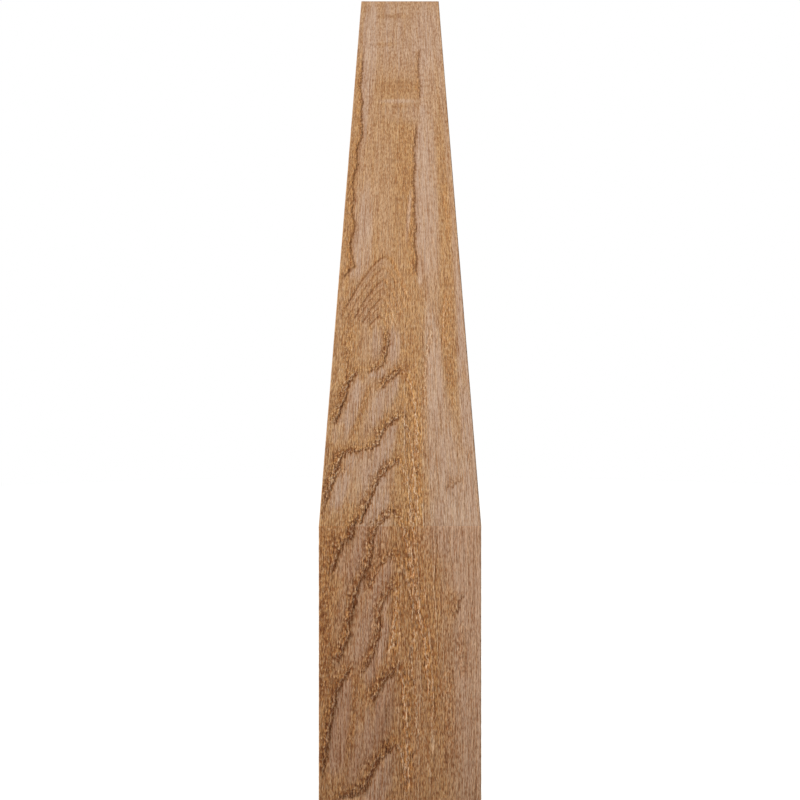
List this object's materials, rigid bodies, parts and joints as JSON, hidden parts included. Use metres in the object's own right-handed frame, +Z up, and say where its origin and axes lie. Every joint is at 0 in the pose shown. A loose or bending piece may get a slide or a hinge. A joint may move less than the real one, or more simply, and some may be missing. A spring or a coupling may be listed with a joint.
{
  "type": "timber knee brace",
  "caption": "Straight rough-sawn timber knee brace set at 45 degrees, with a plumb-cut seat for a post and a level-cut seat for a beam.",
  "frame": {"origin": "middle of the post seat, the plumb-cut face that bears on the post", "axes": "+X across the timber, +Y out from the post along the beam, +Z up the post; the brace rises from the post seat up and out to the beam seat"},
  "size_m": [0.14, 1.0659, 1.0659],
  "materials": {
    "rough_sawn_timber": "rough sawn, bare, raised grain"
  },
  "bodies": {
    "root": {"knee_brace": "rough_sawn_timber"}
  },
  "joints": []
}
